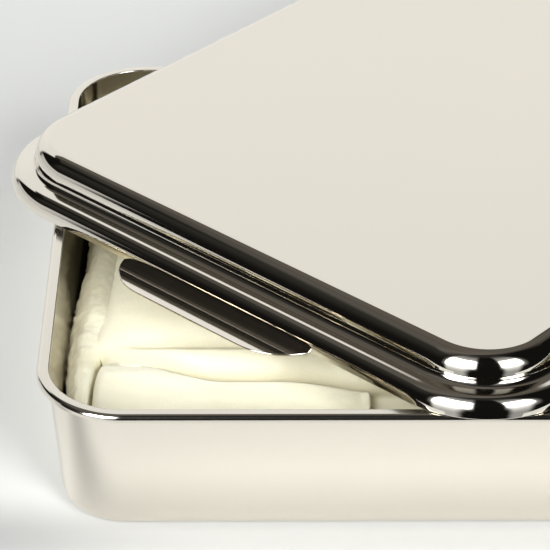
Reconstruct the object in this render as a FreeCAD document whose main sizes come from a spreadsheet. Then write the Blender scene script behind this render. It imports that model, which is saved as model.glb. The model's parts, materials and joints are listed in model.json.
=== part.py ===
import FreeCAD, Part
import math
import os
import Sketcher

# A lidded instrument tray, all sizes in millimetres.
# The origin is the centre of the flat bottom of the pan, +Z is up and the pan's long side runs along X.
# The lid lies askew on the pan's rim: its own axes are turned about Z and its hem rests on the rim.

SIZES = [
    ("tray_length", 300.0, "outside of the rim, along X"),
    ("tray_width", 200.0, "outside of the rim, along Y"),
    ("tray_height", 41.5, "bottom of the pan to the top of the rim"),
    ("rim_corner_radius", 24.5, "outside corner of the rim, seen from above"),
    ("rim_width", 3.5, "rim, from the inside of the wall to its outer edge"),
    ("rim_depth", 2.0, "turned-down lip of the rim"),
    ("rim_edge_radius", 1.3, "rounded outer edge of the rim"),
    ("rim_inner_radius", 0.35, "rounded inner edge of the rim"),
    ("sheet_steel", 0.8, "thickness of the pan's and the lid's sheet"),
    ("wall_draft", 4.5, "degrees that the pan's walls lean out"),
    ("base_edge_radius", 4.5, "rounding between the pan's walls and its bottom"),
    ("lid_length", 306.0, "outside of the lid's hem"),
    ("lid_width", 206.0, "outside of the lid's hem"),
    ("lid_corner_radius", 31.5, "outside corner of the hem, seen from above"),
    ("lid_height", 14.6, "bottom of the hem to the flat panel"),
    ("bead_height", 5.4, "bottom of the hem to the top of the outer step"),
    ("bead_radius", 3.8, "rounding of the outer step"),
    ("valley_radius", 3.2, "hollow rounding between the two steps"),
    ("shoulder_radius", 5.8, "rounding between the upper step and the panel"),
    ("step_inset", 7.7, "hem to the upright wall of the upper step"),
    ("lid_turn", 47.35, "degrees from X to the lid's long side"),
    ("lid_centre_x", 1.95, "lid centre"),
    ("lid_centre_y", 67.0, "lid centre"),
    ("rest_gap", 0.3, "clear height between the rim and the hem"),
    ("tab_width", 74.6, "lifting tab, along the lid's short side"),
    ("tab_reach", 11.5, "how far a lifting tab stands out from the hem"),
    ("tab_corner_radius", 18.0, "outer corners of a lifting tab"),
    ("tab_sheet", 0.6, "thickness of a lifting tab"),
    ("tab_flange", 1.3, "height of the tab's upturned flange, welded inside the hem"),
    ("cotton_gap", 1.2, "clear space between the cotton and the pan's walls"),
    ("layer_gap", 0.3, "clear space between two pieces of cotton, and under the lowest"),
    ("bottom_layer_top", 12.0, "top of the bottom layer of cotton"),
    ("upper_layer_top", 22.5, "top of the upper layer of cotton"),
    ("front_fold_top", 25.5, "top of the fold along the front wall"),
    ("front_fold_length", 72.0, "front fold, along X, from the rolled edge"),
    ("front_fold_width", 42.0, "front fold, along Y"),
    ("left_roll_top", 26.5, "top of the rolled edge along the left wall"),
    ("left_roll_width", 12.0, "rolled edge, along X"),
    ("cotton_corner_radius", 15.0, "corners of a cotton layer, seen from above"),
    ("fold_corner_radius", 5.0, "corners of the fold and the roll, seen from above"),
    ("cotton_edge_radius", 4.0, "rounded edges of a cotton layer"),
    ("fold_edge_radius", 1.2, "rounded edges of the front fold"),
]

doc = FreeCAD.newDocument("instrument_tray")
sheet = doc.addObject("Spreadsheet::Sheet", "sizes")
sheet.set("A1", "size")
sheet.set("B1", "millimetres or degrees")
sheet.set("C1", "what it is")
for row, (alias, value, meaning) in enumerate(SIZES, start=2):
    sheet.set(f"A{row}", alias)
    sheet.set(f"B{row}", str(value))
    sheet.set(f"C{row}", meaning)
    sheet.setAlias(f"B{row}", alias)
doc.recompute()


def size(alias):
    """The number that the sheet holds under an alias."""
    return float(sheet.get(alias))


def cell(formula):
    """A formula in alias names, written the way the expression engine wants it."""
    words = []
    for word in formula.split():
        words.append("sizes." + word if word in ALIASES else word)
    return " ".join(words)


def value(formula):
    """The same formula as a number, for a first guess of the geometry."""
    result = sheet.evalExpression(formula)
    return float(getattr(result, "Value", result))


ALIASES = {alias for alias, _, _ in SIZES}


def new_body(label):
    """An empty body whose label is the node's name."""
    body = doc.addObject("PartDesign::Body", label)
    body.Label = label
    return body


def new_sketch(body, name, role="XY_Plane", offset=None):
    """A sketch on one of the body's own planes, raised by a formula along the plane's normal."""
    sketch = body.newObject("Sketcher::SketchObject", name)
    plane = [item for item in body.Origin.OriginFeatures if item.Role == role][0]
    sketch.AttachmentSupport = [(plane, "")]
    sketch.MapMode = "FlatFace"
    if offset:
        sketch.setExpression("AttachmentOffset.Base.z", cell(offset))
    return sketch


def rounded_rectangle(sketch, length, width, radius):
    """A rectangle with four equal round corners, centred on the sketch's origin."""
    half_x = value(length) / 2
    half_y = value(width) / 2
    corner = value(radius)
    in_x = half_x - corner
    in_y = half_y - corner
    first = sketch.GeometryCount
    for turn in range(4):
        across = (in_x, in_y)[turn % 2]
        out = (half_y, half_x)[turn % 2]
        inner = (in_y, in_x)[turn % 2]
        spin = FreeCAD.Rotation(FreeCAD.Vector(0, 0, 1), 90 * turn)
        start = spin.multVec(FreeCAD.Vector(-across, -out, 0))
        end = spin.multVec(FreeCAD.Vector(across, -out, 0))
        centre = spin.multVec(FreeCAD.Vector(across, -inner, 0))
        sketch.addGeometry(Part.LineSegment(start, end), False)
        circle = Part.Circle(centre, FreeCAD.Vector(0, 0, 1), corner)
        begin = math.radians(90 * turn - 90)
        sketch.addGeometry(Part.ArcOfCircle(circle, begin, begin + math.pi / 2), False)
    for turn in range(4):
        line = first + 2 * turn
        arc = line + 1
        following = first + (2 * turn + 2) % 8
        sketch.addConstraint(Sketcher.Constraint("Tangent", line, 2, arc, 1))
        sketch.addConstraint(Sketcher.Constraint("Tangent", arc, 2, following, 1))
        if turn:
            sketch.addConstraint(Sketcher.Constraint("Equal", first + 1, arc))
    sketch.addConstraint(Sketcher.Constraint("Horizontal", first))
    sketch.addConstraint(Sketcher.Constraint("Vertical", first + 2))
    sketch.addConstraint(Sketcher.Constraint("Symmetric", first, 1, first + 4, 1, -1, 1))
    bind(sketch, Sketcher.Constraint("Radius", first + 1, corner), radius)
    straight_x = Sketcher.Constraint("DistanceX", first, 1, first, 2, 2 * in_x)
    bind(sketch, straight_x, f"{length} - 2 * ( {radius} )")
    straight_y = Sketcher.Constraint("DistanceY", first + 2, 1, first + 2, 2, 2 * in_y)
    bind(sketch, straight_y, f"{width} - 2 * ( {radius} )")


def bind(sketch, constraint, formula):
    """Add a dimension and tie it to the sheet."""
    index = sketch.addConstraint(constraint)
    sketch.setExpression(f"Constraints[{index}]", cell(formula))


def pad(body, sketch, name, length, draft=None):
    """Grow a sketch upwards into a solid, with an optional draft."""
    feature = body.newObject("PartDesign::Pad", name)
    feature.Profile = (sketch, [""])
    feature.setExpression("Length", cell(length))
    if draft:
        feature.setExpression("TaperAngle", cell(draft))
    doc.recompute()
    return feature


def edges_where(feature, test):
    """The names of a feature's edges whose centre of gravity and shape pass a test."""
    return [f"Edge{i}" for i, edge in enumerate(feature.Shape.Edges, start=1) if test(edge)]


def edge_at_height(height):
    """A test for level edges at a height."""
    def test(edge):
        box = edge.BoundBox
        return abs(box.ZMin - height) < 0.01 and abs(box.ZMax - height) < 0.01
    return test


def fillet(body, feature, name, edges, radius):
    """Round the named edges of a feature."""
    assert edges, f"{name} found no edges"
    rounded = body.newObject("PartDesign::Fillet", name)
    rounded.Base = (feature, edges)
    rounded.setExpression("Radius", cell(radius))
    doc.recompute()
    return rounded


def cut_up(body, sketch, name, depth, draft=None):
    """Cut a sketch upwards out of the solid, with an optional draft.

    It checks that the cut took something away."""
    before = body.Tip.Shape.Volume
    feature = body.newObject("PartDesign::Pocket", name)
    feature.Profile = (sketch, [""])
    feature.Reversed = True
    feature.setExpression("Length", cell(depth))
    if draft:
        feature.setExpression("TaperAngle", cell(draft))
    doc.recompute()
    assert feature.Shape.Volume < before - 1, f"{name} cut nothing"
    return feature


def place(body, x="0", y="0", z="0", turn=None):
    """Tie a body's place to the sheet."""
    slight_turn = FreeCAD.Rotation(FreeCAD.Vector(0, 0, 1), 1)
    body.Placement = FreeCAD.Placement(FreeCAD.Vector(0, 0, 0), slight_turn)
    body.setExpression("Placement.Base.x", cell(x))
    body.setExpression("Placement.Base.y", cell(y))
    body.setExpression("Placement.Base.z", cell(z))
    body.setExpression("Placement.Rotation.Angle", cell(turn) if turn else "0 deg")


# ---------------------------------------------------------------- pan
# The pan is deep drawn from one sheet: a flat bottom, walls that lean out, and a flat rim whose edge
# is turned down.

def build_pan():
    pan = new_body("tray_pan")
    lean = "tray_height * tan( wall_draft * 1 deg )"
    lean_inside = "( tray_height - sheet_steel ) * tan( wall_draft * 1 deg )"
    inside_length = "tray_length - 2 * rim_width"
    inside_width = "tray_width - 2 * rim_width"
    inside_radius = "rim_corner_radius - rim_width"
    wall_length = f"{inside_length} + 2 * sheet_steel"
    wall_width = f"{inside_width} + 2 * sheet_steel"
    wall_radius = f"{inside_radius} + sheet_steel"

    foot = new_sketch(pan, "pan_foot")
    foot_length = f"{wall_length} - 2 * {lean}"
    foot_width = f"{wall_width} - 2 * {lean}"
    rounded_rectangle(foot, foot_length, foot_width, f"{wall_radius} - {lean}")
    pad(pan, foot, "pan_block", "tray_height", "wall_draft")

    rim = new_sketch(pan, "rim_outline", offset="tray_height - rim_depth")
    rounded_rectangle(rim, "tray_length", "tray_width", "rim_corner_radius")
    ring = pad(pan, rim, "rim_plate", "rim_depth")
    top = size("tray_height")
    rim_edges = edges_where(ring, edge_at_height(top))
    fillet(pan, ring, "rim_outer_edge", rim_edges, "rim_edge_radius")
    groove = new_sketch(pan, "rim_groove_outline", offset="tray_height - rim_depth")
    rounded_rectangle(
        groove,
        "tray_length - 2 * sheet_steel",
        "tray_width - 2 * sheet_steel",
        "rim_corner_radius - sheet_steel",
    )
    rounded_rectangle(groove, wall_length, wall_width, wall_radius)
    cut_up(pan, groove, "rim_groove", "rim_depth - sheet_steel")

    floor = new_sketch(pan, "pan_floor", offset="sheet_steel")
    rounded_rectangle(
        floor,
        f"{inside_length} - 2 * {lean_inside}",
        f"{inside_width} - 2 * {lean_inside}",
        f"{inside_radius} - {lean_inside}",
    )
    cavity = cut_up(pan, floor, "pan_cavity", "tray_height - sheet_steel", "wall_draft")
    floor_edges = edges_where(cavity, edge_at_height(size("sheet_steel")))
    inner_base = fillet(pan, cavity, "pan_floor_edge", floor_edges, "base_edge_radius - sheet_steel")
    foot_edges = edges_where(inner_base, edge_at_height(0.0))
    outer_base = fillet(pan, inner_base, "pan_base_edge", foot_edges, "base_edge_radius")
    mouth = edges_where(outer_base, lambda edge: edge_at_height(top)(edge) and inside_rim(edge))
    fillet(pan, outer_base, "rim_inner_edge", mouth, "rim_inner_radius")
    place(pan)
    return pan


def off_outline(edge, length, width, radius):
    """How far an edge's middle lies outside a rounded rectangle centred on the origin."""
    middle = edge.valueAt((edge.FirstParameter + edge.LastParameter) / 2)
    out_x = max(abs(middle.x) - (length / 2 - radius), 0)
    out_y = max(abs(middle.y) - (width / 2 - radius), 0)
    return math.hypot(out_x, out_y) - radius


def inside_rim(edge):
    """True for an edge on the rim's inner outline."""
    inset = size("rim_width")
    length = size("tray_length") - 2 * inset
    width = size("tray_width") - 2 * inset
    return abs(off_outline(edge, length, width, size("rim_corner_radius") - inset)) < 0.05


# ---------------------------------------------------------------- lid
# The lid is pressed from one sheet: a flat panel, a tall rounded step, a hollow, a low rounded step
# and an upright hem that reaches over the pan's rim when the lid is closed.

def build_lid():
    lid = new_body("lid_shell")
    low = new_sketch(lid, "low_step_outline")
    rounded_rectangle(low, "lid_length", "lid_width", "lid_corner_radius")
    low_block = pad(lid, low, "low_step", "bead_height")
    high = new_sketch(lid, "high_step_outline")
    rounded_rectangle(
        high,
        "lid_length - 2 * step_inset",
        "lid_width - 2 * step_inset",
        "lid_corner_radius - step_inset",
    )
    pad(lid, high, "high_step", "lid_height")

    under_low = new_sketch(lid, "low_hollow_outline")
    rounded_rectangle(
        under_low,
        "lid_length - 2 * sheet_steel",
        "lid_width - 2 * sheet_steel",
        "lid_corner_radius - sheet_steel",
    )
    cut_up(lid, under_low, "low_hollow", "bead_height - sheet_steel")
    under_high = new_sketch(lid, "high_hollow_outline")
    rounded_rectangle(
        under_high,
        "lid_length - 2 * step_inset - 2 * sheet_steel",
        "lid_width - 2 * step_inset - 2 * sheet_steel",
        "lid_corner_radius - step_inset - sheet_steel",
    )
    step = cut_up(lid, under_high, "high_hollow", "lid_height - sheet_steel")

    panel = size("lid_height")
    bead = size("bead_height")
    wall = size("sheet_steel")
    roundings = [
        ("shoulder_inside", panel - wall, None, "shoulder_radius - sheet_steel"),
        ("bead_inside", bead - wall, wall, "bead_radius - sheet_steel"),
        ("valley", bead, None, "valley_radius"),
        ("shoulder", panel, None, "shoulder_radius"),
        ("bead", bead, 0.0, "bead_radius"),
        ("valley_inside", bead - wall, None, "valley_radius + sheet_steel"),
    ]
    for name, height, hem_inset, radius in roundings:
        level = edge_at_height(height)
        if hem_inset is None:
            wanted = edges_where(step, lambda e: level(e) and not near_hem(e))
        else:
            wanted = edges_where(step, lambda e: level(e) and on_hem(e, hem_inset))
        step = fillet(lid, step, name, wanted, radius)
    place(lid, "lid_centre_x", "lid_centre_y", "tray_height + rest_gap", "lid_turn * 1 deg")
    return lid


def hem_inset_of(edge):
    """How far an edge's middle lies inside the hem's outline."""
    return -off_outline(edge, size("lid_length"), size("lid_width"), size("lid_corner_radius"))


def on_hem(edge, inset):
    """True for an edge that far inside the hem's outline."""
    return abs(hem_inset_of(edge) - inset) < 0.05


def near_hem(edge):
    """True for an edge on the outer step rather than on the upper one."""
    return hem_inset_of(edge) < size("step_inset") / 2


# ---------------------------------------------------------------- lifting tabs
# A tab is a thin plate with two wide round corners. It lies under the hem, in the middle of a short
# side, and an upturned flange along its inner edge is spot-welded to the inside of the hem.

def tab_outline(sketch):
    """The tab seen from above: a straight inner and outer edge joined by two arcs."""
    inner = value("lid_length / 2 - sheet_steel - tab_sheet")
    outer = value("lid_length / 2 + tab_reach")
    corner = size("tab_corner_radius")
    half_edge = size("tab_width") / 2 - corner
    half_root = half_edge + math.sqrt(corner ** 2 - (inner - outer + corner) ** 2)
    up = FreeCAD.Vector(0, 0, 1)
    begin = math.atan2(half_root - half_edge, inner - outer + corner)
    root_begin = FreeCAD.Vector(inner, half_root, 0)
    root_end = FreeCAD.Vector(inner, -half_root, 0)
    root = sketch.addGeometry(Part.LineSegment(root_begin, root_end), False)
    low_circle = Part.Circle(FreeCAD.Vector(outer - corner, -half_edge, 0), up, corner)
    low_arc = sketch.addGeometry(Part.ArcOfCircle(low_circle, -begin, 0), False)
    edge_begin = FreeCAD.Vector(outer, -half_edge, 0)
    edge_end = FreeCAD.Vector(outer, half_edge, 0)
    edge = sketch.addGeometry(Part.LineSegment(edge_begin, edge_end), False)
    high_circle = Part.Circle(FreeCAD.Vector(outer - corner, half_edge, 0), up, corner)
    high_arc = sketch.addGeometry(Part.ArcOfCircle(high_circle, 0, begin), False)
    sketch.addConstraint(Sketcher.Constraint("Coincident", root, 2, low_arc, 1))
    sketch.addConstraint(Sketcher.Constraint("Tangent", low_arc, 2, edge, 1))
    sketch.addConstraint(Sketcher.Constraint("Tangent", edge, 2, high_arc, 1))
    sketch.addConstraint(Sketcher.Constraint("Coincident", high_arc, 2, root, 1))
    sketch.addConstraint(Sketcher.Constraint("Equal", low_arc, high_arc))
    sketch.addConstraint(Sketcher.Constraint("Vertical", root))
    sketch.addConstraint(Sketcher.Constraint("Symmetric", edge, 1, edge, 2, -1))
    bind(sketch, Sketcher.Constraint("Radius", high_arc, corner), "tab_corner_radius")
    straight = Sketcher.Constraint("DistanceY", edge, 1, edge, 2, 2 * half_edge)
    bind(sketch, straight, "tab_width - 2 * tab_corner_radius")
    edge_place = Sketcher.Constraint("DistanceX", -1, 1, edge, 1, outer)
    bind(sketch, edge_place, "lid_length / 2 + tab_reach")
    root_place = Sketcher.Constraint("DistanceX", -1, 1, root, 1, inner)
    bind(sketch, root_place, "lid_length / 2 - sheet_steel - tab_sheet")


def flange_outline(sketch):
    """A thin strip just inside the hem, centred on the tab."""
    strip = "lid_length / 2 - sheet_steel - tab_sheet / 2"
    sketch.setExpression("AttachmentOffset.Base.x", cell(strip))
    rounded_rectangle(sketch, "tab_sheet", "tab_width - tab_corner_radius", "tab_sheet / 4")


def build_tab(label, turn):
    tab = new_body(label)
    plate = new_sketch(tab, label + "_outline")
    tab_outline(plate)
    pad(tab, plate, label + "_plate", "tab_sheet")
    strip = new_sketch(tab, label + "_flange_outline")
    flange_outline(strip)
    pad(tab, strip, label + "_flange", "tab_sheet + tab_flange")
    place(tab, "lid_centre_x", "lid_centre_y", "tray_height + rest_gap - tab_sheet", turn)
    return tab


# ---------------------------------------------------------------- cotton
# A pad of cotton wool lines the pan: a bottom layer, an upper layer, a fold laid along the front wall
# and a rolled edge along the left wall. The layers are plain solids with rounded edges.

FLOOR_LEAN = "( tray_height - sheet_steel ) * tan( wall_draft * 1 deg )"
CLEAR_LENGTH = f"tray_length - 2 * rim_width - 2 * {FLOOR_LEAN} - 2 * cotton_gap"
CLEAR_WIDTH = f"tray_width - 2 * rim_width - 2 * {FLOOR_LEAN} - 2 * cotton_gap"


def build_cotton(label, length, width, corner, bottom, top, edge, x="0", y="0"):
    """One rounded block of cotton."""
    layer = new_body(label)
    outline = new_sketch(layer, label + "_outline")
    rounded_rectangle(outline, length, width, corner)
    block = pad(layer, outline, label + "_block", f"( {top} ) - ( {bottom} )")
    height = value(f"( {top} ) - ( {bottom} )")
    low = edge_at_height(0.0)
    high = edge_at_height(height)
    fillet(layer, block, label + "_edges", edges_where(block, lambda e: low(e) or high(e)), edge)
    place(layer, x, y, bottom)
    return layer


def build_cotton_layers():
    upper_bottom = "bottom_layer_top + layer_gap"
    upper_length = f"{CLEAR_LENGTH} - left_roll_width - layer_gap"
    return [
        build_cotton(
            "cotton_bottom_layer", CLEAR_LENGTH, CLEAR_WIDTH, "cotton_corner_radius",
            "sheet_steel + layer_gap", "bottom_layer_top", "cotton_edge_radius",
        ),
        build_cotton(
            "cotton_upper_layer", upper_length, CLEAR_WIDTH, "cotton_corner_radius",
            upper_bottom, "upper_layer_top", "cotton_edge_radius",
            x="( left_roll_width + layer_gap ) / 2",
        ),
        build_cotton(
            "cotton_front_fold", "front_fold_length", "front_fold_width", "fold_corner_radius",
            "upper_layer_top + layer_gap", "front_fold_top", "fold_edge_radius",
            x=f"( front_fold_length - ( {CLEAR_LENGTH} ) ) / 2 + left_roll_width + layer_gap",
            y=f"( front_fold_width - ( {CLEAR_WIDTH} ) ) / 2",
        ),
        build_cotton(
            "cotton_left_roll", "left_roll_width", f"{CLEAR_WIDTH} - 2 * cotton_corner_radius",
            "fold_corner_radius", upper_bottom, "left_roll_top", "cotton_edge_radius",
            x=f"( left_roll_width - ( {CLEAR_LENGTH} ) ) / 2",
        ),
    ]


# ---------------------------------------------------------------- checks and export

SUB_PARTS = [
    build_pan(),
    build_lid(),
    build_tab("lifting_tab_near", "( lid_turn + 180 ) * 1 deg"),
    build_tab("lifting_tab_far", "lid_turn * 1 deg"),
    *build_cotton_layers(),
]
doc.recompute()
for item in doc.Objects:
    assert "Invalid" not in item.State and "Error" not in item.State, f"{item.Label}: {item.State}"
os.makedirs("parts", exist_ok=True)
for sub_part in SUB_PARTS:
    shape = sub_part.Shape
    assert not shape.isNull() and shape.isValid(), f"{sub_part.Label} is not a valid shape"
    assert len(shape.Solids) == 1, f"{sub_part.Label} is not one solid"
    shape.exportStep(os.path.join("parts", sub_part.Label + ".step"))
    box = shape.optimalBoundingBox()
    limits = (box.XMin, box.XMax, box.YMin, box.YMax, box.ZMin, box.ZMax)
    print(sub_part.Label, round(shape.Volume), "mm3", [round(limit, 2) for limit in limits])
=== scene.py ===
import json
import math

import bpy
from mathutils import Matrix, Vector, noise

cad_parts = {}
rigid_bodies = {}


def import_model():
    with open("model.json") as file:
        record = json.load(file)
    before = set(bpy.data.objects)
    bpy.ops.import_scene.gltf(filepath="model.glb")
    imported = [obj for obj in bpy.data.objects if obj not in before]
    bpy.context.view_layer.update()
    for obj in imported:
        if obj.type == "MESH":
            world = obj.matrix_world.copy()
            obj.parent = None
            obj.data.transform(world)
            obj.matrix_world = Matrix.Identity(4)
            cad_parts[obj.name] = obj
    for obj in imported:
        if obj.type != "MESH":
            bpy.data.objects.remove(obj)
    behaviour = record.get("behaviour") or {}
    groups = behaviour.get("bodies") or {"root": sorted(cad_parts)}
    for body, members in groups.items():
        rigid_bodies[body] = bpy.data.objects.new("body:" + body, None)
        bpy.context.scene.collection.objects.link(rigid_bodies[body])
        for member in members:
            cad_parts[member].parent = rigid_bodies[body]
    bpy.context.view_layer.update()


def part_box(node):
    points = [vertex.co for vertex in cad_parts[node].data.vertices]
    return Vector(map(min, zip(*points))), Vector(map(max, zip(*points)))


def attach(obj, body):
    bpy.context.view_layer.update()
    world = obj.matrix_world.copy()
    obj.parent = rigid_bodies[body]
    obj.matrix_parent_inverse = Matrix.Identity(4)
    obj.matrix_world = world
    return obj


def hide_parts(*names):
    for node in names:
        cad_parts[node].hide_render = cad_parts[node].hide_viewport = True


# A lidded stainless instrument tray with a pad of cotton wool in it, on a white table.
# Metres throughout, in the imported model's frame: the origin is the centre of the pan's bottom, +Z is up.

MM = 0.001
DEGREES = 180.0 / math.pi
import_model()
scene = bpy.context.scene


# ---------------------------------------------------------------- profiles swept round a rounded rectangle

class Profile:
    """A chain of lines and arcs in a plane: x is the inset from the outline, y the height.

    Every span keeps the surface's true normal at both of its ends, as a tilt from straight up
    towards the outside, so that a round stays smooth and a corner stays sharp."""

    def __init__(self, inset, height):
        self.points = [(inset, height)]
        self.spans = []

    def line(self, inset, height, tilt):
        self.points.append((inset, height))
        self.spans.append((tilt, tilt))

    def arc(self, radius, begin, end, steps):
        """Turn from one tilt to another. A positive radius is a rounded ridge, a negative one a hollow."""
        inset, height = self.points[-1]
        centre_inset = inset + radius * math.sin(math.radians(begin))
        centre_height = height - radius * math.cos(math.radians(begin))
        tilt = begin
        for step in range(1, steps + 1):
            following = begin + (end - begin) * step / steps
            angle = math.radians(following)
            self.points.append((
                centre_inset - radius * math.sin(angle),
                centre_height + radius * math.cos(angle),
            ))
            self.spans.append((tilt, following))
            tilt = following

    def back(self, thickness):
        """Return along the other face of the sheet, and leave the chain closed at its start."""
        front = list(zip(self.points[1:], self.spans))
        for (inset, height), (begin, end) in reversed(front):
            angle = math.radians(end)
            self.points.append((
                inset + thickness * math.sin(angle),
                height - thickness * math.cos(angle),
            ))
            self.spans.append((end + 180.0, end + 180.0))
        inset, height = self.points[0]
        self.points.append((inset, height - thickness))
        self.spans.append((180.0, 180.0))


def rounded_ring(length, width, radius, inset, steps):
    """Points round a rounded rectangle, inset from the outline, each with its outward direction."""
    ring = []
    for corner in range(4):
        centre_x = (length / 2 - radius) * (1, -1, -1, 1)[corner]
        centre_y = (width / 2 - radius) * (1, 1, -1, -1)[corner]
        for step in range(steps + 1):
            angle = math.pi / 2 * (corner + step / steps)
            out = Vector((math.cos(angle), math.sin(angle), 0.0))
            place = Vector((centre_x, centre_y, 0.0)) + out * (radius - inset)
            ring.append((place, out))
    return ring


def swept_mesh(name, profile, ring_at, place=Matrix.Identity(4)):
    """A closed mesh: the profile carried round the outline, with a flat face over each end."""
    rows = [ring_at(inset) for inset, _ in profile.points]
    around = len(rows[0])
    verts = []
    for (_, height), row in zip(profile.points, rows):
        verts.extend(place + Vector((0.0, 0.0, height)) for place, _ in row)
    faces = []
    normals = []

    def tilted(out, tilt):
        """The normal that leans from straight up towards out. A zero out gives the upright part alone."""
        angle = math.radians(tilt)
        return out * math.sin(angle) + Vector((0.0, 0.0, math.cos(angle)))

    for index, (begin, end) in enumerate(profile.spans):
        for step in range(around):
            following = (step + 1) % around
            near = index * around
            far = near + around
            faces.append((near + step, far + step, far + following, near + following))
            here = rows[index][step][1]
            there = rows[index][following][1]
            normals.extend((
                tilted(here, begin), tilted(here, end), tilted(there, end), tilted(there, begin),
            ))
    last = (len(profile.points) - 1) * around
    faces.append(tuple(range(around)))
    normals.extend([tilted(Vector(), profile.spans[0][0])] * around)
    faces.append(tuple(last + step for step in reversed(range(around))))
    normals.extend([tilted(Vector(), profile.spans[-1][1])] * around)
    mesh = bpy.data.meshes.new(name)
    mesh.from_pydata([place @ vert for vert in verts], [], faces)
    turn = place.to_3x3()
    normals = [turn @ normal for normal in normals]
    mesh.polygons.foreach_set("use_smooth", [True] * len(mesh.polygons))
    mesh.normals_split_custom_set(normals)
    mesh.update()
    return mesh


def add(name, mesh, materials):
    """A new object in the scene, with its mesh in place and its materials in order."""
    piece = bpy.data.objects.new(name, mesh)
    scene.collection.objects.link(piece)
    for material in materials:
        mesh.materials.append(material)
    return piece


# ---------------------------------------------------------------- materials

def new_material(name):
    material = bpy.data.materials.new(name)
    material.use_nodes = True
    nodes = material.node_tree.nodes
    return material, nodes, material.node_tree.links, nodes["Principled BSDF"]


def polished_steel(name, colour, low_roughness, high_roughness, relief):
    """Polished stainless sheet: a faint haze of wiping marks and a very slight waviness, relief deep."""
    material, nodes, links, shader = new_material(name)
    shader.inputs["Metallic"].default_value = 1.0
    place = nodes.new("ShaderNodeTexCoord")
    haze = nodes.new("ShaderNodeTexNoise")
    haze.inputs["Scale"].default_value = 14.0
    haze.inputs["Detail"].default_value = 5.0
    haze.inputs["Roughness"].default_value = 0.55
    links.new(place.outputs["Object"], haze.inputs["Vector"])
    gloss = nodes.new("ShaderNodeMapRange")
    gloss.inputs["From Min"].default_value = 0.3
    gloss.inputs["From Max"].default_value = 0.7
    gloss.inputs["To Min"].default_value = low_roughness
    gloss.inputs["To Max"].default_value = high_roughness
    links.new(haze.outputs["Fac"], gloss.inputs["Value"])
    links.new(gloss.outputs["Result"], shader.inputs["Roughness"])
    tone = nodes.new("ShaderNodeMixRGB")
    tone.inputs["Color1"].default_value = (*[c * 0.985 for c in colour], 1.0)
    tone.inputs["Color2"].default_value = (*colour, 1.0)
    links.new(haze.outputs["Fac"], tone.inputs["Fac"])
    links.new(tone.outputs["Color"], shader.inputs["Base Color"])
    waves = nodes.new("ShaderNodeTexNoise")
    waves.inputs["Scale"].default_value = 9.0
    waves.inputs["Detail"].default_value = 1.0
    links.new(place.outputs["Object"], waves.inputs["Vector"])
    bump = nodes.new("ShaderNodeBump")
    bump.inputs["Strength"].default_value = 1.0
    bump.inputs["Distance"].default_value = relief
    links.new(waves.outputs["Fac"], bump.inputs["Height"])
    links.new(bump.outputs["Normal"], shader.inputs["Normal"])
    return material


STEEL = (0.83, 0.785, 0.705)
pan_steel = polished_steel("pan_steel_polished", STEEL, 0.08, 0.13, 0.00006)
lid_steel = polished_steel("lid_steel_polished", STEEL, 0.03, 0.05, 0.00002)
tab_steel = polished_steel("tab_steel_polished", STEEL, 0.03, 0.05, 0.00002)


def cotton_wool():
    """Bleached cotton wool: cream white, soft, with a fine nap of fibres and a few small neps, and painted
    shade in its folds.
    """
    material, nodes, links, shader = new_material("cotton_wool")
    shader.inputs["Roughness"].default_value = 0.95
    shader.inputs["Specular IOR Level"].default_value = 0.05
    shader.inputs["Sheen Weight"].default_value = 0.1
    shader.inputs["Sheen Roughness"].default_value = 0.6
    shader.inputs["Subsurface Weight"].default_value = 0.3
    shader.inputs["Subsurface Scale"].default_value = 0.003
    shader.inputs["Subsurface Radius"].default_value = (1.0, 0.95, 0.85)
    place = nodes.new("ShaderNodeTexCoord")
    clumps = nodes.new("ShaderNodeTexNoise")
    clumps.inputs["Scale"].default_value = 45.0
    clumps.inputs["Detail"].default_value = 6.0
    clumps.inputs["Distortion"].default_value = 0.6
    links.new(place.outputs["Object"], clumps.inputs["Vector"])
    tone = nodes.new("ShaderNodeMixRGB")
    tone.inputs["Color1"].default_value = (0.91, 0.88, 0.68, 1.0)
    tone.inputs["Color2"].default_value = (0.95, 0.925, 0.75, 1.0)
    links.new(clumps.outputs["Fac"], tone.inputs["Fac"])
    # Painted shade: the colour turns to a darker cream in the hollow behind the folded strip and along the
    # crease line, as marked per point on the mesh.
    fold_shade = nodes.new("ShaderNodeAttribute")
    fold_shade.attribute_name = "painted_fold_shade"
    fold_shaded = nodes.new("ShaderNodeMixRGB")
    fold_shaded.inputs["Color2"].default_value = (0.74, 0.70, 0.50, 1.0)
    links.new(fold_shade.outputs["Fac"], fold_shaded.inputs["Fac"])
    links.new(tone.outputs["Color"], fold_shaded.inputs["Color1"])
    links.new(fold_shaded.outputs["Color"], shader.inputs["Base Color"])
    fibres = nodes.new("ShaderNodeTexNoise")
    fibres.inputs["Scale"].default_value = 900.0
    fibres.inputs["Detail"].default_value = 4.0
    fibres.inputs["Distortion"].default_value = 2.0
    links.new(place.outputs["Object"], fibres.inputs["Vector"])
    bump = nodes.new("ShaderNodeBump")
    bump.inputs["Strength"].default_value = 0.25
    bump.inputs["Distance"].default_value = 0.0005
    links.new(fibres.outputs["Fac"], bump.inputs["Height"])
    links.new(bump.outputs["Normal"], shader.inputs["Normal"])
    return material


cotton = cotton_wool()


# ---------------------------------------------------------------- pan

TRAY_LENGTH = 300.0 * MM
TRAY_WIDTH = 200.0 * MM
TRAY_HEIGHT = 41.5 * MM
RIM_CORNER = 24.5 * MM
RIM_WIDTH = 3.5 * MM
RIM_DEPTH = 2.0 * MM
RIM_EDGE = 1.3 * MM
RIM_INNER = 0.35 * MM
SHEET = 0.8 * MM
DRAFT = 4.5
BASE_EDGE = 4.5 * MM
CORNER_STEPS = 40


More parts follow.
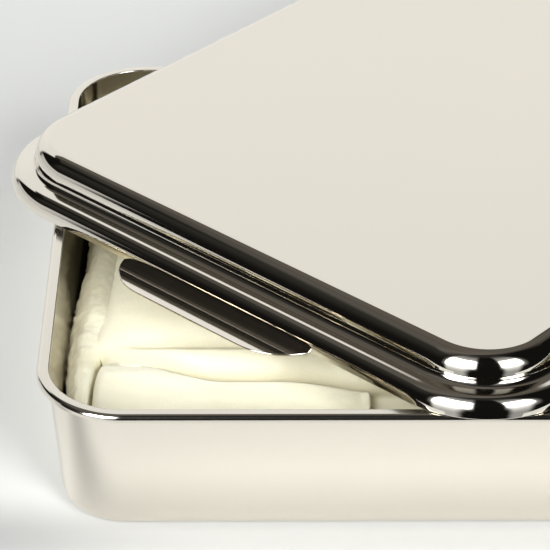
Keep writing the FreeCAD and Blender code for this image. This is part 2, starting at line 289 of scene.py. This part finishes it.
def pan_profile():
    """From the middle of the floor, up the inside, over the rim, and down the outside to the base."""
    lean = math.tan(math.radians(DRAFT))
    floor_edge = BASE_EDGE - SHEET
    wall_tilt = -90.0 + DRAFT
    mouth_turn = RIM_INNER * math.tan(math.radians((90.0 - DRAFT) / 2))
    foot_inside = RIM_WIDTH + (TRAY_HEIGHT - SHEET) * lean
    floor_turn = floor_edge * math.tan(math.radians((90.0 - DRAFT) / 2))
    wall_inset = RIM_WIDTH - SHEET
    foot_outside = wall_inset + TRAY_HEIGHT * lean
    base_turn = BASE_EDGE * math.tan(math.radians((90.0 - DRAFT) / 2))

    profile = Profile(foot_inside + floor_turn + 2 * MM, SHEET)
    profile.line(foot_inside + floor_turn, SHEET, 0.0)
    profile.arc(-floor_edge, 0.0, wall_tilt, 16)
    mouth = RIM_WIDTH + mouth_turn * math.sin(math.radians(DRAFT))
    profile.line(mouth, TRAY_HEIGHT - mouth_turn * math.cos(math.radians(DRAFT)), wall_tilt)
    profile.arc(RIM_INNER, wall_tilt, 0.0, 6)
    profile.line(RIM_EDGE, TRAY_HEIGHT, 0.0)
    profile.arc(RIM_EDGE, 0.0, 90.0, 12)
    profile.line(0.0, TRAY_HEIGHT - RIM_DEPTH, 90.0)
    profile.line(SHEET, TRAY_HEIGHT - RIM_DEPTH, 180.0)
    profile.line(SHEET, TRAY_HEIGHT - SHEET, -90.0)
    profile.line(wall_inset + SHEET * lean, TRAY_HEIGHT - SHEET, 180.0)
    under_wall = foot_outside - base_turn * math.sin(math.radians(DRAFT))
    profile.line(under_wall, base_turn * math.cos(math.radians(DRAFT)), 90.0 + DRAFT)
    profile.arc(BASE_EDGE, 90.0 + DRAFT, 180.0, 16)
    profile.line(profile.points[-1][0] + 2 * MM, 0.0, 180.0)
    return profile


def pan_ring(inset):
    """The pan's outline at an inset from the rim's outer edge."""
    return rounded_ring(TRAY_LENGTH, TRAY_WIDTH, RIM_CORNER, inset, CORNER_STEPS)


pan = add("pan_steelwork", swept_mesh("pan_steelwork", pan_profile(), pan_ring), [pan_steel])
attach(pan, "tray")
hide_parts("tray_pan")


# ---------------------------------------------------------------- lid

LID_LENGTH = 306.0 * MM
LID_WIDTH = 206.0 * MM
LID_CORNER = 31.5 * MM
LID_HEIGHT = 14.6 * MM
SHOULDER = 5.8 * MM
SHOULDER_INSET = 13.5 * MM
SHOULDER_FOOT_INSET = 8.0 * MM
CORNER_TIGHTENING = 2.3 * MM
STEEP_TILT = 87.0
HOLLOW = [(1.7 * MM, STEEP_TILT, 40.0, 20), (3.0 * MM, 40.0, 9.0, 14), (26.0 * MM, 9.0, 5.8, 4)]
BEAD = [(1.0 * MM, 5.8, 20.0, 6), (3.9 * MM, 20.0, 63.0, 24), (6.6 * MM, 63.0, 86.0, 12)]
HEM_DROP = 0.9 * MM
HEM_EDGE = 0.25 * MM
LID_TURN = 47.35
LID_CENTRE = (1.95 * MM, 67.0 * MM)
REST_GAP = 0.3 * MM

lid_place = (
    Matrix.Translation((*LID_CENTRE, TRAY_HEIGHT + REST_GAP))
    @ Matrix.Rotation(math.radians(LID_TURN), 4, "Z")
)


def cosine(degrees):
    return math.cos(math.radians(degrees))


def sine(degrees):
    return math.sin(math.radians(degrees))


def extent(arcs):
    """How far a chain of arcs reaches outwards, and how far it drops."""
    reach = sum(radius * (sine(end) - sine(begin)) for radius, begin, end, _ in arcs)
    drop = sum(radius * (cosine(begin) - cosine(end)) for radius, begin, end, _ in arcs)
    return abs(reach), abs(drop)


def lid_profile():
    """From the panel over the shoulder, the hollow and the bead to the hem, then back along the inside."""
    hem_tilt = BEAD[-1][2]
    bead_reach, bead_drop = extent(BEAD)
    hollow_reach, hollow_drop = extent(HOLLOW)
    hem_inset = HEM_EDGE * (1 - sine(hem_tilt))
    hem_height = HEM_EDGE * (1 + cosine(hem_tilt))
    hem_lean = HEM_DROP / math.tan(math.radians(hem_tilt))
    bead_inset = bead_reach + hem_inset + hem_lean
    bead_height = bead_drop + hem_height + HEM_DROP
    steep_inset = SHOULDER_INSET - SHOULDER * sine(STEEP_TILT)
    steep_height = LID_HEIGHT - SHOULDER * (1 - cosine(STEEP_TILT))
    # The steep wall's length makes the crest, at its own slope, run into the bead.
    crest_tilt = BEAD[0][1]
    slope = math.tan(math.radians(crest_tilt))
    wall_slope = 1 / math.tan(math.radians(STEEP_TILT))
    crest_fall = (steep_inset - hollow_reach - bead_inset) * slope
    wall = (steep_height - hollow_drop - bead_height - crest_fall) / (1 - wall_slope * slope)

    profile = Profile(SHOULDER_INSET + 3 * MM, LID_HEIGHT)
    profile.line(SHOULDER_INSET, LID_HEIGHT, 0.0)
    profile.arc(SHOULDER, 0.0, STEEP_TILT, 40)
    profile.line(steep_inset - wall * wall_slope, steep_height - wall, STEEP_TILT)
    for radius, begin, end, steps in HOLLOW:
        profile.arc(-radius, begin, end, steps)
    profile.line(bead_inset, bead_height, crest_tilt)
    for radius, begin, end, steps in BEAD:
        profile.arc(radius, begin, end, steps)
    profile.line(hem_inset, hem_height, hem_tilt)
    profile.arc(HEM_EDGE, hem_tilt, 180.0, 6)
    profile.back(SHEET)
    return profile


def lid_ring(inset):
    """The outline at an inset. The panel's corners are a little tighter than the hem's."""
    share = min(max((inset - SHOULDER_FOOT_INSET) / (SHOULDER_INSET - SHOULDER_FOOT_INSET), 0.0), 1.0)
    tighter = CORNER_TIGHTENING * share * share * (3 - 2 * share)
    return rounded_ring(
        LID_LENGTH - 2 * inset, LID_WIDTH - 2 * inset, LID_CORNER - inset - tighter, 0.0, CORNER_STEPS,
    )


lid_line = lid_profile()
lid = add("lid_steelwork", swept_mesh("lid_steelwork", lid_line, lid_ring, lid_place), [lid_steel])
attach(lid, "lid")
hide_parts("lid_shell")


# ---------------------------------------------------------------- lifting tabs

TAB_WIDTH = 74.6 * MM
TAB_REACH = 11.5 * MM
TAB_CORNER = 18.0 * MM
TAB_SHEET = 0.6 * MM
TAB_EDGE = 0.22 * MM
TAB_FLANGE = 1.3 * MM
TAB_STEPS = 32
TAB_RISE = 4.5


def tab_ring(inset):
    """The plate's outline at an inset: two wide round corners, and a straight root inside the hem."""
    root = LID_LENGTH / 2 - SHEET - TAB_SHEET
    outer = LID_LENGTH / 2 + TAB_REACH
    centre_x = outer - TAB_CORNER
    half = TAB_WIDTH / 2 - TAB_CORNER
    radius = TAB_CORNER - inset
    reach = math.acos((root + inset - centre_x) / radius)
    ring = []
    for side in (-1, 1):
        for step in range(TAB_STEPS + 1):
            share = step / TAB_STEPS
            angle = reach * (share - 1.0) if side < 0 else reach * share
            out = Vector((math.cos(angle), math.sin(angle), 0.0))
            ring.append((Vector((centre_x, side * half, 0.0)) + out * radius, out))
    return ring


def tab_profile():
    """From the middle of the plate's upper face, round its edge, to the middle of its lower face."""
    profile = Profile(3 * TAB_EDGE, TAB_SHEET)
    profile.line(TAB_EDGE, TAB_SHEET, 0.0)
    profile.arc(TAB_EDGE, 0.0, 90.0, 5)
    profile.line(0.0, TAB_EDGE, 90.0)
    profile.arc(TAB_EDGE, 90.0, 180.0, 5)
    profile.line(3 * TAB_EDGE, 0.0, 180.0)
    return profile


def flange_ring(inset):
    """The upturned strip that is spot-welded to the inside of the hem."""
    centre = Vector((LID_LENGTH / 2 - SHEET - TAB_SHEET / 2, 0.0, 0.0))
    ring = rounded_ring(TAB_SHEET, TAB_WIDTH - TAB_CORNER, TAB_SHEET / 4, inset, 4)
    return [(centre + place, out) for place, out in ring]


def flange_profile():
    """From the strip's top edge down its side to the plate it stands on."""
    top = TAB_SHEET + TAB_FLANGE
    edge = TAB_SHEET / 8
    profile = Profile(2 * edge, top)
    profile.line(edge, top, 0.0)
    profile.arc(edge, 0.0, 90.0, 3)
    profile.line(0.0, TAB_SHEET / 2, 90.0)
    profile.line(2 * edge, TAB_SHEET / 2, 180.0)
    return profile


for side, half_turn in (("near", 180.0), ("far", 0.0)):
    tab_place = (
        lid_place
        @ Matrix.Translation((0.0, 0.0, -TAB_SHEET))
        @ Matrix.Rotation(math.radians(half_turn), 4, "Z")
    )
    root = Matrix.Translation((LID_LENGTH / 2 - SHEET - TAB_SHEET, 0.0, 0.0))
    upturn = root @ Matrix.Rotation(math.radians(-TAB_RISE), 4, "Y") @ root.inverted()
    for part, profile, ring_at, place in (
        ("plate", tab_profile(), tab_ring, tab_place @ upturn),
        ("weld_strip", flange_profile(), flange_ring, tab_place),
    ):
        name = f"lifting_tab_{side}_{part}"
        piece = add(name, swept_mesh(name, profile, ring_at, place), [tab_steel])
        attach(piece, "lid")
        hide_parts(f"lifting_tab_{side}")


# ---------------------------------------------------------------- cotton wool
# Lengths inside these functions are in millimetres.

def ramp(value, begin, end):
    """0 at begin, 1 at end, and an easy S between them."""
    share = min(max((value - begin) / (end - begin), 0.0), 1.0)
    return share * share * (3 - 2 * share)


def after_modifier(mesh, kind, **settings):
    """A copy of the mesh as one modifier leaves it."""
    holder = bpy.data.objects.new("holder", mesh)
    scene.collection.objects.link(holder)
    modifier = holder.modifiers.new(kind, kind)
    for name, value in settings.items():
        setattr(modifier, name, value)
    graph = bpy.context.evaluated_depsgraph_get()
    result = bpy.data.meshes.new_from_object(holder.evaluated_get(graph))
    bpy.data.objects.remove(holder)
    return result


def puffed(mesh, cap):
    """The mesh after a short cloth simulation under pressure, with no point moved further than the cap."""
    starts = [vertex.co.copy() for vertex in mesh.vertices]
    holder = bpy.data.objects.new("holder", mesh)
    scene.collection.objects.link(holder)
    cloth = holder.modifiers.new("cloth", "CLOTH")
    cloth.settings.use_pressure = True
    cloth.settings.uniform_pressure_force = CLOTH_PRESSURE
    cloth.settings.effector_weights.gravity = 0.0
    for number in range(1, CLOTH_FRAMES + 1):
        scene.frame_set(number)
    graph = bpy.context.evaluated_depsgraph_get()
    result = bpy.data.meshes.new_from_object(holder.evaluated_get(graph))
    bpy.data.objects.remove(holder)
    scene.frame_set(1)
    for vertex, start in zip(result.vertices, starts):
        move = vertex.co - start
        if move.length > cap:
            vertex.co = start + move.normalized() * cap
    return result


def soft_block(name, low, high, corner, edge, voxel, cap, levels):
    """A pad with round corners and soft edges, puffed up a little, in small even faces."""
    size = [(b - a) * MM for a, b in zip(low, high)]
    profile = Profile(edge * MM, size[2])
    profile.arc(edge * MM, 0.0, 90.0, 8)
    profile.line(0.0, edge * MM, 90.0)
    profile.arc(edge * MM, 90.0, 180.0, 8)
    middle = [(a + b) / 2 * MM for a, b in zip(low, high)]
    place = Matrix.Translation((middle[0], middle[1], low[2] * MM))

    def block_ring(inset):
        return rounded_ring(size[0], size[1], corner * MM, inset, 10)

    mesh = swept_mesh(name, profile, block_ring, place)
    mesh = after_modifier(mesh, "REMESH", mode="VOXEL", voxel_size=voxel * MM)
    mesh = puffed(mesh, cap * MM)
    return after_modifier(mesh, "SUBSURF", levels=levels, render_levels=levels)


def lumps(point, size, height):
    """Smooth uneven swelling, of about the given size and height in millimetres."""
    return height * noise.noise(point / size)


def seam_x(y):
    """Where the roll along the left wall meets the pad."""
    return -130.0 - 3.2 * ramp(y, -16.0, -42.0) - 2.6 * ramp(y, -40.0, -66.0)


def roll_left_x(y):
    """The roll's side towards the wall: it stands off the wall where it goes under the lid."""
    return -141.4 - 2.9 * ramp(y, 12.0, -24.0) + 2.6 * ramp(y, -52.0, -76.0)


def fold_back_y(x):
    """The back edge of the strip that is folded over at the front."""
    return -53.0 - 8.6 * ramp(x, -124.0, -99.0) - 5.0 * ramp(x, -82.0, -58.0)


def surface_z(x, y):
    """The height of the cotton's top, behind the folded strip's back edge and in front of it."""
    edge = fold_back_y(x)
    hollow = ramp(x, -127.0, -102.0)
    if y < edge:
        return 26.5 - 0.8 * ramp(y, -68.0, -92.0)
    floor = 26.2 - 2.2 * hollow - 0.6 * ramp(x, -90.0, -65.0)
    ridge = 26.2 - 0.8 * ramp(x, -95.0, -60.0)
    height = floor + (ridge - floor) * ramp(y, edge + 3.0 * hollow, -46.5)
    along = ramp(x, -130.0, -120.0) * (1 - ramp(x, -94.0, -84.0))
    height -= 1.1 * along * ramp(y, -44.6, -43.6) * (1 - ramp(y, -42.5, -28.0))
    return height - 1.6 * ramp(y, -30.0, 40.0)


def strip_thickness(x, y):
    """The folded strip thins out to nothing at its back on the left, and is fully round on the right."""
    width = 15.0 - 13.4 * ramp(x, -126.0, -106.0)
    return 0.06 + 3.4 * math.sqrt(ramp(fold_back_y(x) - y, 0.0, width))


def pad_top_z(x, y):
    """The top of the upper layer, which runs on under the folded strip."""
    edge = fold_back_y(x)
    top = surface_z(x, y)
    if y < edge:
        top -= 0.05 + strip_thickness(x, y)
    beside = 24.3 - 0.8 * ramp(y, -76.0, -90.0)
    share = ramp(x, -61.0, -58.0) * (1 - ramp(y, -67.0, -62.0))
    return top + (beside - top) * share


def round_off(distance, radius):
    """How far a rounded edge has dropped, as a share of its radius, at a distance from the side."""
    share = min(max(1 - distance / radius, 0.0), 1.0)
    return 1 - math.sqrt(1 - share * share)


def crease_depth(y):
    """The crease between the roll and the pad is open at the front and closes towards the lid."""
    return 1.5 * ramp(y, -38.0, -50.0)


def felted(y):
    """1 where the roll and the pad are felted into one, 0 where they lie side by side."""
    return ramp(y, -50.0, -40.0)


def sculpt_upper(x, y, z):
    """The upper layer: its side follows the roll, and its top the hollow behind the folded strip."""
    x += (seam_x(y) + 129.9) * (1 - ramp(x, -129.0, -108.0))
    x -= FELTED_LAP * felted(y) * (1 - ramp(x, -131.0, -120.0)) * ramp(z, 18.0, 21.5)
    share = ramp(z, 15.0, 22.0)
    swell = lumps(Vector((x, y, 3.0)), 17.0, 0.5) + lumps(Vector((x, y, 9.0)), 5.0, 0.16)
    swell *= ramp(y, fold_back_y(x), fold_back_y(x) + 3.0)
    swell -= crease_depth(y) * round_off(x - seam_x(y), 3.0)
    return x, y, z + share * (pad_top_z(x, y) - 22.4 + swell)


def sculpt_strip(x, y, z):
    """The folded strip: laid on the upper layer along the front wall, with a wandering back edge."""
    share = ramp((z - 23.0) / 2.4, 0.0, 1.0)
    y = -92.0 + (y + 92.0) * (fold_back_y(x) + 92.0) / 40.0
    x += (seam_x(y) + 129.9) * (1 - ramp(x, -129.0, -108.0))
    swell = lumps(Vector((x, y, 3.0)), 15.0, 0.45) + lumps(Vector((x, y, 9.0)), 5.0, 0.16)
    swell -= 1.6 * round_off(x - seam_x(y), 3.0)
    merging = (1 - ramp(x, -120.0, -104.0)) * (1 - ramp(fold_back_y(x) - y, 0.0, 5.0))
    foot = pad_top_z(x, y) + 0.05 - 0.35 * merging
    thickness = strip_thickness(x, y)
    return x, y, foot + share * max(thickness + swell * ramp(thickness, 0.0, 2.0), 0.06)


def sculpt_roll(x, y, z):
    """The roll along the left wall: ragged on its side towards the wall, and round on top."""
    share = (x + 142.1) / 12.0
    left = roll_left_x(y)
    right = seam_x(y) - 0.2
    x = left + (right - left) * share
    place = Vector((x, y, z))
    swell = lumps(place, 11.0, 0.5) + lumps(place, 3.4, 0.7) + lumps(place, 1.3, 0.5)
    x -= swell * (1 - ramp(share, 0.0, 0.6))
    upper = ramp(z, 16.0, 24.0)
    z += upper * (swell * 0.4 - 5.5 * round_off(share, 0.45) - 0.4)
    z -= upper * crease_depth(y) * round_off(1 - share, 0.28)
    return x, y, z - 1.6 * upper * ramp(y, -60.0, -76.0)


def sculpt_bottom(x, y, z):
    """The lowest layer stays as it swelled."""
    return x, y, z


def painted_fold_shade(x, y):
    """1 in the hollow behind the folded strip and along the crease line, where shade is painted into the
    wool as a darker cream, and 0 elsewhere.
    """
    behind = y - fold_back_y(x)
    band = ramp(behind, -0.6, 0.8) * (1 - ramp(behind, 4.0, 11.0))
    line = ramp(x, -131.0, -122.0) * ramp(y, -46.0, -44.2) * (1 - ramp(y, -43.6, -36.0))
    return min(band * (0.35 + 0.65 * ramp(x, -128.0, -108.0)) + 0.45 * line, 1.0)


FELTED_LAP = 4.5
CLOTH_PRESSURE = 4.0
CLOTH_FRAMES = 20
# Each row: node, corner radius, edge radius, voxel, cap on the cloth's move, subdivisions, sculpting.
COTTON = [
    ("cotton_bottom_layer", 20.0, 4.0, 4.0, 1.0, 1, sculpt_bottom),
    ("cotton_upper_layer", 18.0, 1.6, 2.4, 0.8, 1, sculpt_upper),
    ("cotton_front_fold", 6.0, 1.0, 1.1, 0.4, 1, sculpt_strip),
    ("cotton_left_roll", 3.0, 2.2, 1.3, 0.8, 1, sculpt_roll),
]
for node, corner, edge, voxel, cap, levels, sculpt in COTTON:
    low, high = [[value / MM for value in end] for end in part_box(node)]
    mesh = soft_block(node, low, high, corner, edge, voxel, cap, levels)
    least = [min(vertex.co[axis] for vertex in mesh.vertices) for axis in range(3)]
    most = [max(vertex.co[axis] for vertex in mesh.vertices) for axis in range(3)]
    for vertex in mesh.vertices:
        share = [(vertex.co[axis] - least[axis]) / (most[axis] - least[axis]) for axis in range(3)]
        fitted = [a + (b - a) * part for a, b, part in zip(low, high, share)]
        vertex.co = Vector(sculpt(*fitted)) * MM
    # Painted shade in the folds, stored per point for the wool's colour.
    fold_shade = mesh.attributes.new("painted_fold_shade", "FLOAT", "POINT")
    fold_shade.data.foreach_set("value", [painted_fold_shade(*(vertex.co.xy / MM)) for vertex in mesh.vertices])
    mesh.polygons.foreach_set("use_smooth", [True] * len(mesh.polygons))
    mesh.update()
    piece = add(f"{node}_wool", mesh, [cotton])
    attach(piece, "pad")
    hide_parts(node)


# ---------------------------------------------------------------- table

def flat_mesh(name, corners):
    """One flat face."""
    mesh = bpy.data.meshes.new(name)
    mesh.from_pydata(corners, [], [tuple(range(len(corners)))])
    mesh.update()
    return mesh


def table_paint():
    """White board with painted shade: darker towards its left where the room's light falls off, a little
    darker further in front, and darkest in a band close in front of the pan for its contact shadow.
    """
    material, nodes, links, shader = new_material("table_white_painted_shade")
    shader.inputs["Roughness"].default_value = 0.6
    shader.inputs["Specular IOR Level"].default_value = 0.1
    place = nodes.new("ShaderNodeTexCoord")
    axes = nodes.new("ShaderNodeSeparateXYZ")
    links.new(place.outputs["Object"], axes.inputs["Vector"])
    colour = (*TABLE_WHITE, 1.0)
    for axis, (begin, end), share in TABLE_PAINTED_SHADE:
        fade = nodes.new("ShaderNodeMapRange")
        fade.interpolation_type = "SMOOTHSTEP"
        fade.inputs["From Min"].default_value = begin
        fade.inputs["From Max"].default_value = end
        links.new(axes.outputs[axis], fade.inputs["Value"])
        tone = nodes.new("ShaderNodeMixRGB")
        tone.blend_type = "MULTIPLY"
        tone.inputs["Color2"].default_value = (share, share, share, 1.0)
        links.new(fade.outputs["Result"], tone.inputs["Fac"])
        if isinstance(colour, tuple):
            tone.inputs["Color1"].default_value = colour
        else:
            links.new(colour, tone.inputs["Color1"])
        colour = tone.outputs["Color"]
    links.new(colour, shader.inputs["Base Color"])
    return material


TABLE_REACH = 3.0
TABLE_FRONT = -0.165
TABLE_WHITE = (0.68, 0.69, 0.68)
# Painted shade on the table. Each row: axis, from and to in metres, and the factor the colour is
# multiplied by beyond; the last row brightens the paint back under the pan.
TABLE_PAINTED_SHADE = [
    ("X", (-0.12, -0.20), 0.94),
    ("X", (-0.24, -0.36), 0.90),
    ("Y", (-0.128, -0.150), 0.92),
    ("Y", (-0.119, -0.099), 0.66),
    ("Y", (-0.097, -0.075), 1 / 0.66),
]
white = table_paint()
table = add("table_top", flat_mesh("table_top", [
    (-TABLE_REACH, TABLE_FRONT, 0.0),
    (TABLE_REACH, TABLE_FRONT, 0.0),
    (TABLE_REACH, TABLE_REACH, 0.0),
    (-TABLE_REACH, TABLE_REACH, 0.0),
]), [white])
floor = add("floor_in_front", flat_mesh("floor_in_front", [
    (-TABLE_REACH, -TABLE_REACH, 0.0),
    (TABLE_REACH, -TABLE_REACH, 0.0),
    (TABLE_REACH, TABLE_FRONT, 0.0),
    (-TABLE_REACH, TABLE_FRONT, 0.0),
]), [white])
floor.visible_glossy = False


# ---------------------------------------------------------------- light from the room
# Each patch: azimuths from and to, elevations from and to, softness of the four edges in degrees,
# colour and strength. Azimuth 0 is straight back along +Y, 90 is towards +X. The steel mirrors them.

ROOM = [
    ("backdrop", (-47.0, 16.0), (-90.0, 43.0), (3.0, 3.0, 1.0, 0.8), (1.0, 1.0, 0.985), 0.89),
    ("backdrop_foot", (-30.0, 16.0), (-90.0, 31.0), (12.0, 3.0, 1.0, 4.0), (1.0, 0.98, 0.96), 0.06),
    ("sweep_left", (-98.3, -52.0), (-90.0, 13.3), (0.7, 5.0, 1.0, 1.5), (1.0, 1.0, 0.99), 0.60),
    ("box_left", (-165.0, -131.0), (8.0, 44.0), (6.0, 2.5, 8.0, 6.0), (1.0, 1.0, 1.0), 15.0),
    ("box_left_skirt", (-167.0, -129.0), (0.0, 60.0), (5.0, 5.0, 9.0, 20.0), (1.0, 1.01, 1.01), 0.6),
    ("box_left_glow", (-160.0, -131.0), (-9.0, 6.0), (4.0, 2.5, 14.0, 4.0), (1.0, 1.03, 1.05), 0.6),
    ("spill_left", (-156.0, -131.0), (-60.0, 3.0), (5.0, 3.0, 30.0, 5.0), (0.97, 1.0, 1.0), 0.5),
    ("box_right", (133.0, 157.0), (14.0, 44.0), (5.0, 4.0, 8.0, 6.0), (1.0, 1.0, 1.0), 15.0),
    ("box_right_skirt", (129.0, 159.0), (4.0, 60.0), (7.0, 4.0, 9.0, 20.0), (1.0, 1.01, 1.01), 0.6),
    ("box_right_glow", (134.0, 156.0), (-6.0, 10.0), (4.0, 4.0, 14.0, 4.0), (1.0, 1.03, 1.05), 0.45),
    ("spill_right", (136.0, 155.0), (-60.0, 6.0), (4.0, 4.0, 30.0, 5.0), (0.97, 1.0, 1.0), 0.35),
    ("ceiling_back", (-40.0, 60.0), (43.0, 91.0), (9.0, 20.0, 1.0, 0.1), (1.0, 0.91, 0.80), 0.11),
    ("ceiling_left", (-112.0, -42.0), (51.0, 91.0), (22.0, 9.0, 5.0, 0.1), (1.0, 0.93, 0.83), 0.10),
    ("ceiling_top", (-181.0, 181.0), (72.0, 91.0), (0.1, 0.1, 8.0, 0.1), (1.0, 0.96, 0.9), 0.02),
    ("dusk", (-122.0, -78.0), (32.0, 91.0), (12.0, 5.0, 22.0, 0.1), (1.0, 0.95, 0.86), 0.028),
    ("gloom", (-181.0, 181.0), (-91.0, 91.0), (0.1, 0.1, 0.1, 0.1), (1.0, 0.93, 0.84), 0.007),
]


def light_the_room():
    """The world's light as the sum of the room's patches, by direction alone."""
    world = bpy.data.worlds.new("room")
    scene.world = world
    world.use_nodes = True
    nodes = world.node_tree.nodes
    links = world.node_tree.links

    def math_node(operation, *values):
        node = nodes.new("ShaderNodeMath")
        node.operation = operation
        for socket, value in zip(node.inputs, values):
            if isinstance(value, (int, float)):
                socket.default_value = value
            else:
                links.new(value, socket)
        return node.outputs[0]

    def step(value, middle, softness):
        node = nodes.new("ShaderNodeMapRange")
        node.interpolation_type = "SMOOTHSTEP"
        node.inputs["From Min"].default_value = middle - softness
        node.inputs["From Max"].default_value = middle + softness
        links.new(value, node.inputs["Value"])
        return node.outputs["Result"]

    place = nodes.new("ShaderNodeTexCoord")
    axes = nodes.new("ShaderNodeSeparateXYZ")
    links.new(place.outputs["Generated"], axes.inputs["Vector"])
    azimuth = math_node("MULTIPLY", math_node("ARCTAN2", axes.outputs["X"], axes.outputs["Y"]), DEGREES)
    elevation = math_node("MULTIPLY", math_node("ARCSINE", axes.outputs["Z"]), DEGREES)
    total = None
    for _, azimuths, elevations, soft, colour, strength in ROOM:
        share = step(azimuth, azimuths[0], soft[0])
        beyond = step(azimuth, azimuths[1], soft[1])
        share = math_node("MULTIPLY", share, math_node("SUBTRACT", 1.0, beyond))
        share = math_node("MULTIPLY", share, step(elevation, elevations[0], soft[2]))
        above = step(elevation, elevations[1], soft[3])
        share = math_node("MULTIPLY", share, math_node("SUBTRACT", 1.0, above))
        patch = nodes.new("ShaderNodeVectorMath")
        patch.operation = "SCALE"
        patch.inputs[0].default_value = [c * strength for c in colour]
        links.new(share, patch.inputs["Scale"])
        if total is None:
            total = patch.outputs[0]
            continue
        sum_node = nodes.new("ShaderNodeVectorMath")
        sum_node.operation = "ADD"
        links.new(total, sum_node.inputs[0])
        links.new(patch.outputs[0], sum_node.inputs[1])
        total = sum_node.outputs[0]
    links.new(total, nodes["Background"].inputs["Color"])


light_the_room()


# ---------------------------------------------------------------- fill light
# A wide soft fill from the front left that reaches the cotton wool under the lid's edge, and no steel.

FILL_AZIMUTH = -165.0
FILL_ELEVATION = 46.0
FILL_WIDTH = 80.0
FILL_STRENGTH = 0.7

fill_data = bpy.data.lights.new("wool_fill", "SUN")
fill_data.energy = FILL_STRENGTH
fill_data.angle = math.radians(FILL_WIDTH)
fill_data.color = (1.0, 0.97, 0.86)
fill = bpy.data.objects.new("wool_fill", fill_data)
scene.collection.objects.link(fill)
towards_fill = Vector((
    sine(FILL_AZIMUTH) * cosine(FILL_ELEVATION),
    cosine(FILL_AZIMUTH) * cosine(FILL_ELEVATION),
    sine(FILL_ELEVATION),
))
fill.rotation_euler = towards_fill.to_track_quat("Z", "Y").to_euler()
fill.visible_glossy = False
# Only the wool receives the fill.
wool = bpy.data.collections.new("wool")
for piece in scene.objects:
    if piece.name.endswith("_wool"):
        wool.objects.link(piece)
fill.light_linking.receiver_collection = wool


# ---------------------------------------------------------------- camera

CAMERA_PLACE = (-89.4 * MM, -691.7 * MM, 459.4 * MM)
PITCH = math.radians(32.248)
YAW = math.radians(0.439)
ROLL = math.radians(0.159)
FOCAL_SHARE = 2715.5 / 550.0
camera_data = bpy.data.cameras.new("camera")
camera_data.sensor_width = 36.0
camera_data.lens = 36.0 * FOCAL_SHARE
camera_data.clip_start = 0.05
camera_data.clip_end = 20.0
camera = bpy.data.objects.new("camera", camera_data)
scene.collection.objects.link(camera)
forward = Vector((
    math.sin(YAW) * math.cos(PITCH),
    math.cos(YAW) * math.cos(PITCH),
    -math.sin(PITCH),
))
level = Vector((math.cos(YAW), -math.sin(YAW), 0.0))
upright = level.cross(forward)
right = level * math.cos(ROLL) + upright * math.sin(ROLL)
up = upright * math.cos(ROLL) - level * math.sin(ROLL)
turn = Matrix((right, up, -forward)).transposed()
camera.matrix_world = Matrix.Translation(CAMERA_PLACE) @ turn.to_4x4()
scene.camera = camera

scene.view_settings.view_transform = "Standard"
scene.view_settings.look = "None"
scene.view_settings.exposure = 0.0
scene.view_settings.gamma = 1.0
